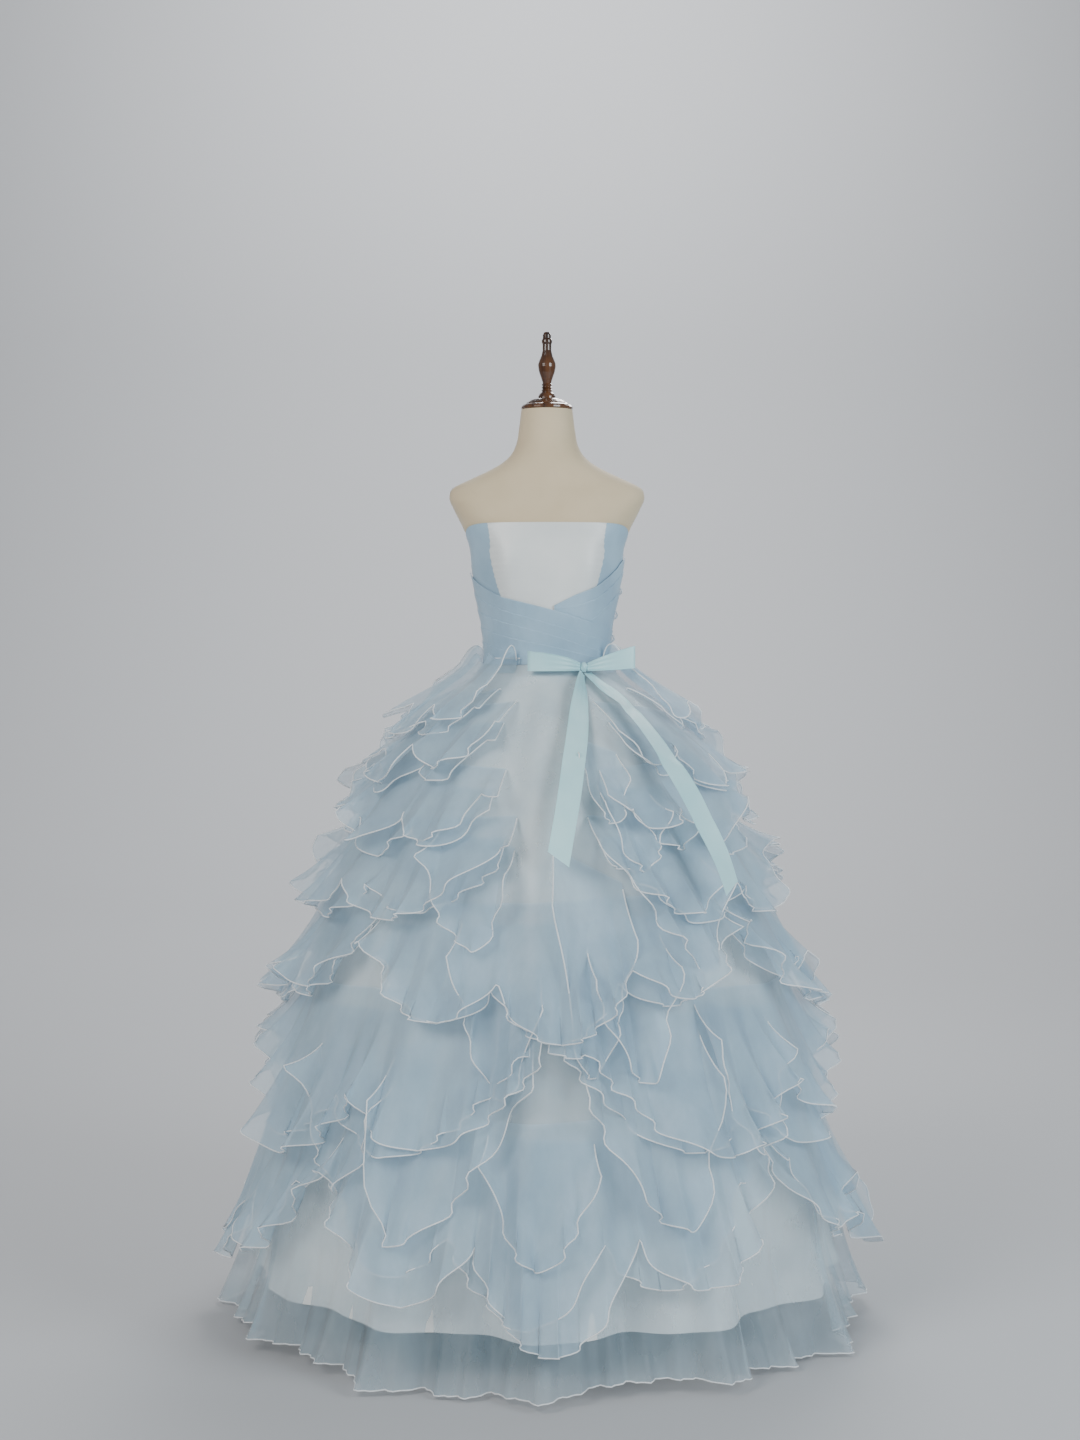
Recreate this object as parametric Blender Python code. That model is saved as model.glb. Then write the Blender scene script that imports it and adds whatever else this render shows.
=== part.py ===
"""Strapless ball gown of white satin and pale blue organza on a limbless dress form.

Metres, +Z up. The gown's front faces -Y and the origin is the centre of the stand's underside.
"""

from math import cos, exp, pi, radians, sin, sqrt

import bmesh
import bpy
import numpy as np

# ---------------------------------------------------------------- driving dimensions
GAP = 0.0003  # left between neighbouring pieces
WAIST_SEAM = 1.2126  # height of the seam between bodice and skirt
NECK_TOP = 1.6895  # height of the neck's cut, under the turned cap
FORM_BOTTOM = 0.93

# The form's level sections, from the bottom up: an oval with its own depth in front and behind.
# height, half_width, front, back, bluntness (1 is an ellipse, less is blunter at the sides), bust
FORM = np.array([
    (0.930, 0.1550, 0.115, 0.130, 1.00, 0.00),
    (1.000, 0.1600, 0.118, 0.135, 1.00, 0.00),
    (1.100, 0.1460, 0.106, 0.120, 1.00, 0.00),
    (1.160, 0.1270, 0.091, 0.100, 1.00, 0.00),
    (1.218, 0.1145, 0.083, 0.088, 1.00, 0.00),
    (1.280, 0.1180, 0.088, 0.092, 1.00, 0.02),
    (1.340, 0.1290, 0.096, 0.098, 1.00, 0.12),
    (1.395, 0.1390, 0.102, 0.102, 1.00, 0.17),
    (1.436, 0.1435, 0.099, 0.102, 0.97, 0.12),
    (1.470, 0.1580, 0.091, 0.097, 0.90, 0.03),
    (1.502, 0.1740, 0.080, 0.088, 0.80, 0.00),
    (1.526, 0.1830, 0.068, 0.075, 0.76, 0.00),
    (1.543, 0.1760, 0.059, 0.065, 0.78, 0.00),
    (1.560, 0.1420, 0.054, 0.060, 0.84, 0.00),
    (1.576, 0.1080, 0.052, 0.058, 0.92, 0.00),
    (1.590, 0.0840, 0.052, 0.057, 1.00, 0.00),
    (1.606, 0.0670, 0.053, 0.056, 1.00, 0.00),
    (1.621, 0.0590, 0.053, 0.055, 1.00, 0.00),
    (1.650, 0.0530, 0.050, 0.051, 1.00, 0.00),
    (1.6895, 0.0480, 0.047, 0.047, 1.00, 0.00),
])
BUST_ANGLE = radians(37)
BUST_SPREAD = radians(18)

# Turned wood, from the axis out and up: radius, height above the neck's cut
CAP_PROFILE = [
    (0.0000, 0.0003), (0.0465, 0.0003), (0.0485, 0.0022), (0.0485, 0.0050), (0.0455, 0.0085),
    (0.0400, 0.0110), (0.0385, 0.0130), (0.0310, 0.0180), (0.0210, 0.0212), (0.0000, 0.0212),
]
FINIAL_PROFILE = [
    (0.0000, 0.0215), (0.0165, 0.0215), (0.0165, 0.0250), (0.0135, 0.0300), (0.0090, 0.0340),
    (0.0105, 0.0365), (0.0080, 0.0390), (0.0105, 0.0415), (0.0080, 0.0440), (0.0100, 0.0470),
    (0.0078, 0.0500), (0.0105, 0.0590), (0.0145, 0.0700), (0.0165, 0.0800), (0.0165, 0.0860),
    (0.0140, 0.0930), (0.0105, 0.1010), (0.0082, 0.1110), (0.0082, 0.1220), (0.0098, 0.1260),
    (0.0098, 0.1300), (0.0076, 0.1340), (0.0078, 0.1400), (0.0050, 0.1450), (0.0000, 0.1458),
]
TURNED_SIDES = 24

BASE_RADIUS = 0.200
BASE_PROFILE = [
    (0.0000, 0.0000), (0.1985, 0.0000), (0.2000, 0.0020), (0.2000, 0.0090), (0.1940, 0.0130),
    (0.0320, 0.0160), (0.0320, 0.0360), (0.0280, 0.0400), (0.0000, 0.0400),
]
POLE_RADIUS = 0.016
POLE_FOOT = 0.0403
COLLAR_RADIUS = 0.034
COLLAR_DEPTH = 0.022

# ---------------------------------------------------------------- bodice
PANEL_LIFT = 0.0021  # base panels' inner face off the form
PANEL_WALL = 0.0012
PANEL_ROWS = 8
WRAP_LIFT = 0.0046  # pleated wraps' inner face off the form
WRAP_WALL = 0.0011
WRAP_FOLD = 0.0019  # thickness at each pleat's folded upper edge
NECKLINE_FLAT = radians(41)
NECKLINE_FRONT = 1.4735
NECKLINE_SIDE = 1.4200
NECKLINE_BACK = 1.4050
SIDE_SEAM = radians(92)
PRINCESS_HEIGHTS = [WAIST_SEAM, 1.360, 1.420, NECKLINE_FRONT]
PRINCESS_ANGLES = np.radians([26.0, 43.0, 47.5, 40.5])

# Folded upper edges of the left wrap's pleats, which cross over the right wrap: heights at each angle
WRAP_ANGLES = np.radians([-91.0, -40.0, 0.0, 41.0, 91.0])
LEFT_WRAP_EDGES = [
    (1.3870, 1.3400, 1.3175, 1.2920, 1.2760),
    (1.3510, 1.3160, 1.2905, 1.2665, 1.2530),
    (1.3190, 1.2930, 1.2710, 1.2440, 1.2340),
    (1.2870, 1.2665, 1.2490, 1.2290, 1.2210),
    (1.2590, 1.2400, 1.2240, 1.2180, 1.2160),
]
# The right wrap's pleats lie above the left wrap's first edge, each from a start angle to the side seam
RIGHT_WRAP_ANGLES = np.radians([6.0, 24.0, 41.0, 56.0, 73.0, 91.0])
RIGHT_WRAP_EDGES = [
    (1.3230, 1.3430, 1.3580, 1.3790, 1.4040, 1.4150),
    (1.3165, 1.3230, 1.3350, 1.3530, 1.3760, 1.3900),
    (1.3145, 1.3035, 1.2960, 1.3210, 1.3420, 1.3540),
]

# ---------------------------------------------------------------- skirts
COLUMNS = 48  # round the skirt; column 0 is the centre front and columns grow towards +X
FLUTES = 12
SKIRT_WALL = 0.0011
# The overskirt's outer surface. height, half_width, front, back, flute_depth, hem_flute_depth
SKIRT = np.array([
    (0.006, 0.588, 0.588, 0.588, 0.018, 0.020),
    (0.120, 0.548, 0.548, 0.548, 0.020, 0.003),
    (0.280, 0.522, 0.521, 0.522, 0.016, 0.000),
    (0.450, 0.488, 0.486, 0.488, 0.012, 0.000),
    (0.650, 0.442, 0.439, 0.442, 0.009, 0.000),
    (0.810, 0.396, 0.392, 0.395, 0.007, 0.000),
    (0.940, 0.344, 0.338, 0.342, 0.006, 0.000),
    (1.045, 0.286, 0.278, 0.284, 0.005, 0.000),
    (1.135, 0.206, 0.190, 0.199, 0.003, 0.000),
    (1.198, 0.1310, 0.1030, 0.1090, 0.000, 0.000),
    (WAIST_SEAM - GAP, 0.1195, 0.0892, 0.0938, 0.000, 0.000),
])
SATIN_HEM = 0.096
SATIN_SETBACK = 0.0008  # satin's outer face behind the overskirt's inner face at the waist
SATIN_SETBACK_HEM = 0.012

FLOUNCE_WALL = 0.0010
FLOUNCE_SEAM_LIFT = 0.0010
FLOUNCE_LIFT_PER_RISE = 0.018  # a flounce that rises from its seam turns its wall towards the skirt
FLOUNCE_CLEARANCE_SHARE = 0.42  # share of its reach by which a flounce's inner folds stand off at the hem
FLOUNCE_FLUTE_SHARE = 0.54  # share of its reach that its fluting takes up at the hem
FLOUNCE_BANDS = 3
LEAF_DEPTH = 0.42  # share of a flounce's drop by which its hem rises between two leaves
LEAF_SHIFT = 0.5  # how far the leaves are shifted along from one flounce to the next, in radians of their wave
SEAM_SLANT = 0.013  # how far a flounce's seam rises or falls from its middle to each end
# Rows of flounces from the waist down. label, seam, drop, reach, rise, leaves, spans as (first, last) columns
FLOUNCE_ROWS = [
    ("a", 1.198, 0.115, 0.088, 0.065, 3, [(7.5, 16), (16, 24), (24, 33), (33, 44.5)]),
    ("b", 1.135, 0.145, 0.078, 0.012, 3, [(3.2, 13), (13, 24), (24, 35), (35, 45.9)]),
    ("c", 1.045, 0.165, 0.084, 0.008, 3, [(2.3, 12), (12, 24), (24, 36), (36, 46.2)]),
    ("d", 0.940, 0.182, 0.092, 0.005, 2, [(1.5, 11), (11, 23), (23, 35), (35, 46.9)]),
    ("e", 0.810, 0.235, 0.098, 0.000, 3, [(-6, 6), (6, 18), (18, 30), (30, 42)]),
    ("f", 0.650, 0.310, 0.100, 0.000, 2, [(0, 12), (12, 24), (24, 36), (36, 48)]),
    ("g", 0.450, 0.345, 0.090, 0.000, 3, [(-6, 6), (6, 18), (18, 30), (30, 42)]),
]

# ---------------------------------------------------------------- bow
RIBBON_WALL = 0.0010
RIBBON_HALF_WIDTH = 0.020
KNOT = (0.0680, -0.0960, 1.2085)
KNOT_SIZE = (0.0130, 0.0200, 0.0190)
# Each loop runs from the knot along its back leaf, round its end and back along its front leaf.
# x, y, height, half_width
LEFT_LOOP = [
    (0.0610, -0.0900, 1.2095, 0.0070), (0.0350, -0.1075, 1.2150, 0.0120),
    (0.0000, -0.1110, 1.2180, 0.0160), (-0.0280, -0.1080, 1.2195, 0.0175),
    (-0.0360, -0.1130, 1.2200, 0.0180), (-0.0290, -0.1200, 1.2195, 0.0175),
    (0.0000, -0.1240, 1.2175, 0.0155), (0.0350, -0.1190, 1.2140, 0.0120),
    (0.0610, -0.1020, 1.2095, 0.0070),
]
RIGHT_LOOP = [
    (0.0744, -0.0905, 1.2090, 0.0070), (0.1000, -0.0930, 1.2150, 0.0120),
    (0.1300, -0.0950, 1.2210, 0.0170), (0.1540, -0.0970, 1.2260, 0.0195),
    (0.1620, -0.1030, 1.2270, 0.0200), (0.1540, -0.1090, 1.2260, 0.0195),
    (0.1300, -0.1120, 1.2210, 0.0165), (0.1000, -0.1100, 1.2150, 0.0120),
    (0.0744, -0.1015, 1.2090, 0.0070),
]
# Tails, from the knot down: x, height, stand-off from the overskirt, half_width
LEFT_TAIL = [
    (0.0655, 1.1975, 0.009, 0.0075), (0.0630, 1.1700, 0.019, 0.0150), (0.0560, 1.1100, 0.024, 0.0195),
    (0.0450, 1.0400, 0.035, 0.0200), (0.0330, 0.9650, 0.045, 0.0200), (0.0180, 0.8850, 0.052, 0.0200),
]
RIGHT_TAIL = [
    (0.0760, 1.1980, 0.006, 0.0080), (0.1000, 1.1780, 0.016, 0.0150), (0.1450, 1.1400, 0.034, 0.0190),
    (0.1880, 1.0850, 0.058, 0.0200), (0.2300, 1.0200, 0.082, 0.0200), (0.2700, 0.9500, 0.096, 0.0200),
    (0.3020, 0.8850, 0.104, 0.0200), (0.3220, 0.8300, 0.108, 0.0200),
]
TAIL_SLANT = 0.010  # how far the slanted cut rises across a tail's end

# Small frill of organza behind the right side, and the header frill left standing above the waist seam
SIDE_FRILL_ANGLE = radians(118)
SIDE_FRILL_TOP = 1.368
SIDE_FRILL_DROP = 0.135
SIDE_FRILL_REACH = 0.020
HEADER_FRILL_SPAN = (radians(-52), radians(-24))
HEADER_FRILL_RISE = 0.009

# name: colour, roughness, metallic
FINISHES = {
    "form_cover": ((0.690, 0.560, 0.370, 1), 0.85, 0.0),
    "turned_wood": ((0.085, 0.032, 0.012, 1), 0.25, 0.0),
    "stand_steel": ((0.550, 0.560, 0.570, 1), 0.35, 1.0),
    "white_satin": ((0.720, 0.780, 0.770, 1), 0.38, 0.0),
    "blue_organza": ((0.420, 0.580, 0.680, 1), 0.55, 0.0),
    "bodice_organza": ((0.280, 0.430, 0.540, 1), 0.60, 0.0),
    "aqua_ribbon": ((0.500, 0.800, 0.840, 1), 0.30, 0.0),
}


# ---------------------------------------------------------------- scene and finishes
def clear_scene():
    for obj in list(bpy.data.objects):
        bpy.data.objects.remove(obj, do_unlink=True)


def finish(name):
    """The named material, made the first time it is asked for."""
    material = bpy.data.materials.get(name)
    if material is None:
        colour, roughness, metallic = FINISHES[name]
        material = bpy.data.materials.new(name)
        material.use_nodes = True
        shader = material.node_tree.nodes["Principled BSDF"]
        shader.inputs["Base Color"].default_value = colour
        shader.inputs["Roughness"].default_value = roughness
        shader.inputs["Metallic"].default_value = metallic
    return material


def add_object(name, mesh, material, smooth=True):
    obj = bpy.data.objects.new(name, mesh)
    bpy.context.scene.collection.objects.link(obj)
    mesh.materials.append(finish(material))
    if smooth:
        mesh.shade_smooth()
        mesh.set_sharp_from_angle(angle=radians(50))
    return obj


def mesh_from(name, points, faces):
    mesh = bpy.data.meshes.new(name)
    mesh.from_pydata([tuple(point) for point in points], [], faces)
    work = bmesh.new()
    work.from_mesh(mesh)
    bmesh.ops.recalc_face_normals(work, faces=work.faces)
    work.to_mesh(mesh)
    work.free()
    return mesh


# ---------------------------------------------------------------- cloth walls
def grid_normals(grid, closed):
    """Unit normals of a grid of points [along][across], across x along pointing outwards."""
    if closed:
        along = np.roll(grid, -1, axis=0) - np.roll(grid, 1, axis=0)
    else:
        along = np.gradient(grid, axis=0)
    across = np.gradient(grid, axis=1)
    normals = np.cross(along, across)
    return normals / np.linalg.norm(normals, axis=2, keepdims=True)


def wall(name, inner, outer, material, closed=False):
    """A cloth wall between two grids of points, its rims closed; `closed` joins the last column to the first."""
    along, across = inner.shape[:2]
    points = np.concatenate([inner.reshape(-1, 3), outer.reshape(-1, 3)])
    skin = along * across

    def corner(i, j, layer):
        return (i % along) * across + j + layer * skin

    faces = []
    for i in range(along if closed else along - 1):
        for j in range(across - 1):
            for layer in (0, 1):
                a, b = corner(i, j, layer), corner(i + 1, j, layer)
                c, d = corner(i + 1, j + 1, layer), corner(i, j + 1, layer)
                faces += [(a, b, c), (a, c, d)]
        for j in (0, across - 1):
            a, b = corner(i, j, 0), corner(i + 1, j, 0)
            faces += [(a, b, corner(i + 1, j, 1)), (a, corner(i + 1, j, 1), corner(i, j, 1))]
    if not closed:
        for i in (0, along - 1):
            for j in range(across - 1):
                a, b = corner(i, j, 0), corner(i, j + 1, 0)
                faces += [(a, b, corner(i, j + 1, 1)), (a, corner(i, j + 1, 1), corner(i, j, 1))]
    return add_object(name, mesh_from(name, points, faces), material)


def sheet_wall(name, grid, thickness, material, closed=False):
    """A wall whose inner face is the grid, thickened outwards along its normals."""
    return wall(name, grid, grid + grid_normals(grid, closed) * thickness, material, closed)


# ---------------------------------------------------------------- the form's shape
def smooth_row(table, height):
    """A table's columns at a height, on a smooth curve through its rows."""
    heights = table[:, 0]
    slopes = np.gradient(table[:, 1:], heights, axis=0)
    i = int(np.clip(np.searchsorted(heights, height) - 1, 0, len(heights) - 2))
    step = heights[i + 1] - heights[i]
    s = (height - heights[i]) / step
    return (
        (2 * s**3 - 3 * s**2 + 1) * table[i, 1:]
        + (s**3 - 2 * s**2 + s) * step * slopes[i]
        + (3 * s**2 - 2 * s**3) * table[i + 1, 1:]
        + (s**3 - s**2) * step * slopes[i + 1]
    )


def form_surface(angle, height):
    """A point of the form: angle 0 is the centre front and grows towards +X."""
    half_width, front, back, blunt, bust = smooth_row(FORM, height)
    side, ahead = sin(angle), cos(angle)
    depth = front if ahead > 0 else back
    swell = sum(exp(-(((angle - apex) / BUST_SPREAD) ** 2)) for apex in (-BUST_ANGLE, BUST_ANGLE))
    x = half_width * abs(side) ** blunt * (1 if side > 0 else -1)
    y = -depth * abs(ahead) ** blunt * (1 if ahead > 0 else -1) * (1 + bust * swell)
    return np.array((x, y, height))


def off_form(angle, height, lift):
    """A point off the form's surface by `lift`, along its normal."""
    step = 1e-3
    around = form_surface(angle + step, height) - form_surface(angle - step, height)
    top = min(height + step, NECK_TOP)
    upwards = form_surface(angle, top) - form_surface(angle, top - 2 * step)
    normal = np.cross(around, upwards)
    return form_surface(angle, height) + lift * normal / np.linalg.norm(normal)


def form_body():
    rings = [FORM_BOTTOM, 0.965, 1.03, 1.10, 1.16, 1.195, 1.218, 1.245, 1.28, 1.31, 1.34, 1.368, 1.395]
    rings += [1.416, 1.436, 1.455, 1.472, 1.488, 1.502, 1.515, 1.526, 1.536, 1.545, 1.555, 1.566]
    rings += [1.578, 1.590, 1.604, 1.621, 1.650, NECK_TOP]
    sides = 36
    work = bmesh.new()
    loops = []
    for height in rings:
        loops.append([work.verts.new(form_surface(2 * pi * k / sides, height)) for k in range(sides)])
    for lower, upper in zip(loops, loops[1:]):
        for k in range(sides):
            n = (k + 1) % sides
            work.faces.new((lower[k], lower[n], upper[n], upper[k]))
    work.faces.new(loops[0])
    work.faces.new(loops[-1])
    bmesh.ops.recalc_face_normals(work, faces=work.faces)
    mesh = bpy.data.meshes.new("form_body")
    work.to_mesh(mesh)
    work.free()
    return add_object("form_body", mesh, "form_cover")


# ---------------------------------------------------------------- turned pieces and stand
def turned(name, profile, material, foot=0.0):
    """A solid of revolution about Z from a profile of (radius, height), both ends on the axis."""
    rings = profile[1:-1]
    angles = [2 * pi * k / TURNED_SIDES for k in range(TURNED_SIDES)]
    points = [(radius * sin(a), -radius * cos(a), height) for radius, height in rings for a in angles]
    faces = []
    for ring in range(len(rings) - 1):
        for k in range(TURNED_SIDES):
            n = (k + 1) % TURNED_SIDES
            low, high = ring * TURNED_SIDES, (ring + 1) * TURNED_SIDES
            faces.append((low + k, low + n, high + n, high + k))
    faces.append(tuple(range(TURNED_SIDES)))
    faces.append(tuple(range((len(rings) - 1) * TURNED_SIDES, len(rings) * TURNED_SIDES)))
    obj = add_object(name, mesh_from(name, points, faces), material)
    obj.location.z = foot
    return obj


def stand():
    turned("stand_base", BASE_PROFILE, "stand_steel")
    collar_foot = FORM_BOTTOM - GAP - COLLAR_DEPTH
    pole_top = collar_foot - GAP
    pole = [(0, 0), (POLE_RADIUS, 0), (POLE_RADIUS, pole_top - POLE_FOOT), (0, 0)]
    turned("stand_pole", pole, "stand_steel", POLE_FOOT)
    collar = [(0, 0), (COLLAR_RADIUS, 0), (COLLAR_RADIUS, COLLAR_DEPTH), (0, 0)]
    turned("stand_collar", collar, "stand_steel", collar_foot)


# ---------------------------------------------------------------- bodice
def neckline(angle):
    """Height of the bodice's top edge: straight across the front, rounded down to the sides, level behind."""
    turn = min(max((abs(angle) - NECKLINE_FLAT) / (SIDE_SEAM - NECKLINE_FLAT), 0), 1)
    front = NECKLINE_SIDE + (NECKLINE_FRONT - NECKLINE_SIDE) * sqrt(1 - turn**2.2)
    behind = min(max((abs(angle) - SIDE_SEAM) / radians(60), 0), 1)
    return front + (NECKLINE_BACK - NECKLINE_SIDE) * behind * behind * (3 - 2 * behind)


def princess(height):
    return float(np.interp(height, PRINCESS_HEIGHTS, PRINCESS_ANGLES))


def panel(name, left_of, right_of, columns, rows, material):
    """A base panel of the bodice between two seams, each given as an angle at a height."""
    grid = np.zeros((columns + 1, rows + 1, 3))
    outer = np.zeros_like(grid)
    for i in range(columns + 1):
        for j in range(rows + 1):
            height = NECKLINE_FRONT
            for _ in range(3):  # the seam's angle and the neckline depend on each other
                angle = left_of(height) + (right_of(height) - left_of(height)) * i / columns
                height = WAIST_SEAM + (neckline(angle) - WAIST_SEAM) * j / rows
            grid[i, j] = off_form(angle, height, PANEL_LIFT)
            outer[i, j] = off_form(angle, height, PANEL_LIFT + PANEL_WALL)
    wall(name, grid, outer, material)


def bodice_panels():
    seam = radians(0.15)  # half the gap at each seam
    closure = radians(177.5)
    panel("bodice_centre_front", lambda h: -princess(h) + seam, lambda h: princess(h) - seam, 14, PANEL_ROWS, "white_satin")
    for side, label in ((-1, "left"), (1, "right")):
        inner = [lambda h, s=side: s * (princess(h) + seam), lambda h, s=side: s * (SIDE_SEAM - seam)]
        outer = [lambda h, s=side: s * (SIDE_SEAM + seam), lambda h, s=side: s * (closure - seam)]
        if side < 0:
            inner.reverse()
            outer.reverse()
        panel(f"bodice_side_front_{label}", *inner, 6, PANEL_ROWS, "bodice_organza")
        panel(f"bodice_back_{label}", *outer, 8, PANEL_ROWS, "bodice_organza")
    panel("bodice_back_closure", lambda h: closure + seam, lambda h: 2 * pi - closure - seam, 2, PANEL_ROWS, "white_satin")


def pleat(name, angles, upper, lower):
    """One pleat of a wrap: a band between its folded upper edge and the next pleat's edge."""
    inner = np.zeros((len(angles), 2, 3))
    outer = np.zeros_like(inner)
    for i, angle in enumerate(angles):
        for j, (height, thick) in enumerate(((lower[i], WRAP_WALL), (upper[i], WRAP_FOLD))):
            inner[i, j] = off_form(angle, height, WRAP_LIFT)
            outer[i, j] = off_form(angle, height, WRAP_LIFT + thick)
    wall(name, inner, outer, "bodice_organza")


def wraps():
    spacing = 2 * GAP
    angles = np.linspace(WRAP_ANGLES[0], WRAP_ANGLES[-1], 19)
    edges = [np.interp(angles, WRAP_ANGLES, row) for row in LEFT_WRAP_EDGES]
    edges.append(np.full(len(angles), WAIST_SEAM))
    for k, (upper, lower) in enumerate(zip(edges, edges[1:])):
        pleat(f"wrap_left_pleat_{k + 1}", angles, upper - spacing, lower + spacing)
    angles = np.linspace(RIGHT_WRAP_ANGLES[0], RIGHT_WRAP_ANGLES[-1], 10)
    edges = [np.interp(angles, RIGHT_WRAP_ANGLES, row) for row in RIGHT_WRAP_EDGES]
    edges.append(np.interp(angles, WRAP_ANGLES, LEFT_WRAP_EDGES[0]))
    for k, (upper, lower) in enumerate(zip(edges, edges[1:])):
        upper = np.maximum(upper, edges[-1] + 0.008 - 0.002 * k)
        lower = np.maximum(lower, edges[-1] + 0.006 - 0.002 * k if k < 2 else edges[-1])
        pleat(f"wrap_right_pleat_{k + 1}", angles, upper - spacing, lower + spacing)


def side_frill():
    """A narrow organza frill that stands from the right side-back, from under the bust to above the waist."""
    rows, folds = 12, 3
    grid = np.zeros((3, rows + 1, 3))
    for j in range(rows + 1):
        s = j / rows
        height = SIDE_FRILL_TOP - SIDE_FRILL_DROP * (1 - s)
        stand_off = SIDE_FRILL_REACH * (0.35 + 0.65 * sin(folds * pi * s) ** 2)
        for i in range(3):
            sway = 0.10 * i * sin(2 * folds * pi * s)
            lift = PANEL_LIFT + PANEL_WALL + 0.0008 + stand_off * i / 2
            grid[i, j] = off_form(SIDE_FRILL_ANGLE + sway, height, lift)
    sheet_wall("side_frill", grid, FLOUNCE_WALL, "blue_organza")


def header_frill():
    """The gathered edge left standing above the waist seam, left of the centre front."""
    columns = 8
    grid = np.zeros((columns + 1, 2, 3))
    for i in range(columns + 1):
        angle = HEADER_FRILL_SPAN[0] + (HEADER_FRILL_SPAN[1] - HEADER_FRILL_SPAN[0]) * i / columns
        wave = 0.5 + 0.5 * cos(pi * i)
        grid[i, 0] = off_form(angle, WAIST_SEAM + 2 * GAP, WRAP_LIFT + WRAP_WALL + 0.0007)
        lift = WRAP_LIFT + WRAP_FOLD + 0.0020 + 0.0035 * wave
        grid[i, 1] = off_form(angle, WAIST_SEAM + HEADER_FRILL_RISE, lift)
    sheet_wall("waist_header_frill", grid, FLOUNCE_WALL, "blue_organza")


# ---------------------------------------------------------------- skirts
def skirt_corner(column, row, lift=0.0):
    """A corner of the overskirt's facets, off its outer surface by `lift`."""
    height, half_width, front, back, flute, hem_flute = SKIRT[row]
    angle = 2 * pi * column / COLUMNS
    depth = front if cos(angle) > 0 else back
    uneven = 1 + 0.30 * sin(2 * angle + 1)
    fold = flute * uneven * cos(FLUTES * angle) + hem_flute * cos(COLUMNS / 2 * angle) * uneven
    radial = lift + fold
    return np.array(((half_width + radial) * sin(angle), -(depth + radial) * cos(angle), height))


def off_skirt(column, height, lift):
    """A point off the overskirt's faceted surface, at any column and height."""
    row = int(np.clip(np.searchsorted(SKIRT[:, 0], height) - 1, 0, len(SKIRT) - 2))
    rise = (height - SKIRT[row, 0]) / (SKIRT[row + 1, 0] - SKIRT[row, 0])
    first = int(np.floor(column))
    share = column - first
    ends = []
    for corner in (first, first + 1):
        ends.append((1 - rise) * skirt_corner(corner, row, lift) + rise * skirt_corner(corner, row + 1, lift))
    return (1 - share) * ends[0] + share * ends[1]


def skirts():
    over = [[skirt_corner(i, j, -SKIRT_WALL) for j in range(len(SKIRT))] for i in range(COLUMNS)]
    outer = [[skirt_corner(i, j) for j in range(len(SKIRT))] for i in range(COLUMNS)]
    wall("overskirt", np.array(over), np.array(outer), "blue_organza", closed=True)
    heights = [SATIN_HEM] + list(SKIRT[2:, 0])
    inner, outer = [], []
    for i in range(0, COLUMNS, 2):
        setbacks = [np.interp(h, [0.1, 1.1, WAIST_SEAM], [SATIN_SETBACK_HEM, 0.003, SATIN_SETBACK]) for h in heights]
        outer.append([off_skirt(i, h, -SKIRT_WALL - s) for h, s in zip(heights, setbacks)])
        inner.append([off_skirt(i, h, -2 * SKIRT_WALL - s) for h, s in zip(heights, setbacks)])
    wall("satin_underskirt", np.array(inner), np.array(outer), "white_satin", closed=True)


def flounce(name, row, slant, length_share, phase, first, last):
    """A flounce whose hem hangs in pointed leaves, rounded up at both ends; its seam slants across the skirt."""
    _, seam, drop, reach, rise, leaves, _ = row
    columns = [first + 0.12] + list(range(int(first) + 1, int(np.ceil(last)))) + [last - 0.12]
    grid = np.zeros((len(columns), FLOUNCE_BANDS + 1, 3))
    for i, column in enumerate(columns):
        u = (column - first) / (last - first)
        ends = sin(pi * (0.07 + 0.86 * u)) ** 0.55
        leaf = 1 - LEAF_DEPTH * (1 - abs(sin(leaves * pi * u + LEAF_SHIFT * sin(phase))) ** 0.8)
        fold = 0.5 + 0.5 * cos(pi * i) * (0.78 + 0.22 * sin(2.1 * i + phase))
        for j in range(FLOUNCE_BANDS + 1):
            v = j / FLOUNCE_BANDS
            height = seam + slant * (2 * u - 1) - drop * length_share * ends * leaf * v + 4 * rise * v * (1 - v)
            stand_off = FLOUNCE_CLEARANCE_SHARE * v**1.5 + FLOUNCE_FLUTE_SHARE * v**2.5 * fold
            lift = FLOUNCE_SEAM_LIFT + FLOUNCE_LIFT_PER_RISE * rise + reach * stand_off
            grid[i, FLOUNCE_BANDS - j] = off_skirt(column, min(height, WAIST_SEAM - GAP), lift)
            grid[i, FLOUNCE_BANDS - j, 2] = height
    sheet_wall(name, grid, FLOUNCE_WALL, "blue_organza")


def flounces():
    for index, row in enumerate(FLOUNCE_ROWS):
        label, spans = row[0], row[-1]
        for number, (first, last) in enumerate(spans):
            phase = index + 2 * number
            slant = SEAM_SLANT * (-1) ** phase if index else 0
            if number % 2:
                slant = -slant
            length_share = 1 + 0.07 * sin(2.3 * phase)
            flounce(f"flounce_{label}{number + 1}", row, slant, length_share, phase, first, last)


# ---------------------------------------------------------------- bow
def ribbon(name, centres, half_widths, across):
    """A ribbon along its centre points, `across` giving the direction of its width at each."""
    grid = np.zeros((len(centres), 2, 3))
    for i, (centre, half) in enumerate(zip(centres, half_widths)):
        grid[i, 0] = np.array(centre) - np.array(across[i]) * half
        grid[i, 1] = np.array(centre) + np.array(across[i]) * half
    sheet_wall(name, grid, RIBBON_WALL, "aqua_ribbon")


def loop(name, rows):
    ribbon(name, [row[:3] for row in rows], [row[3] for row in rows], [(0, 0, 1)] * len(rows))


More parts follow.
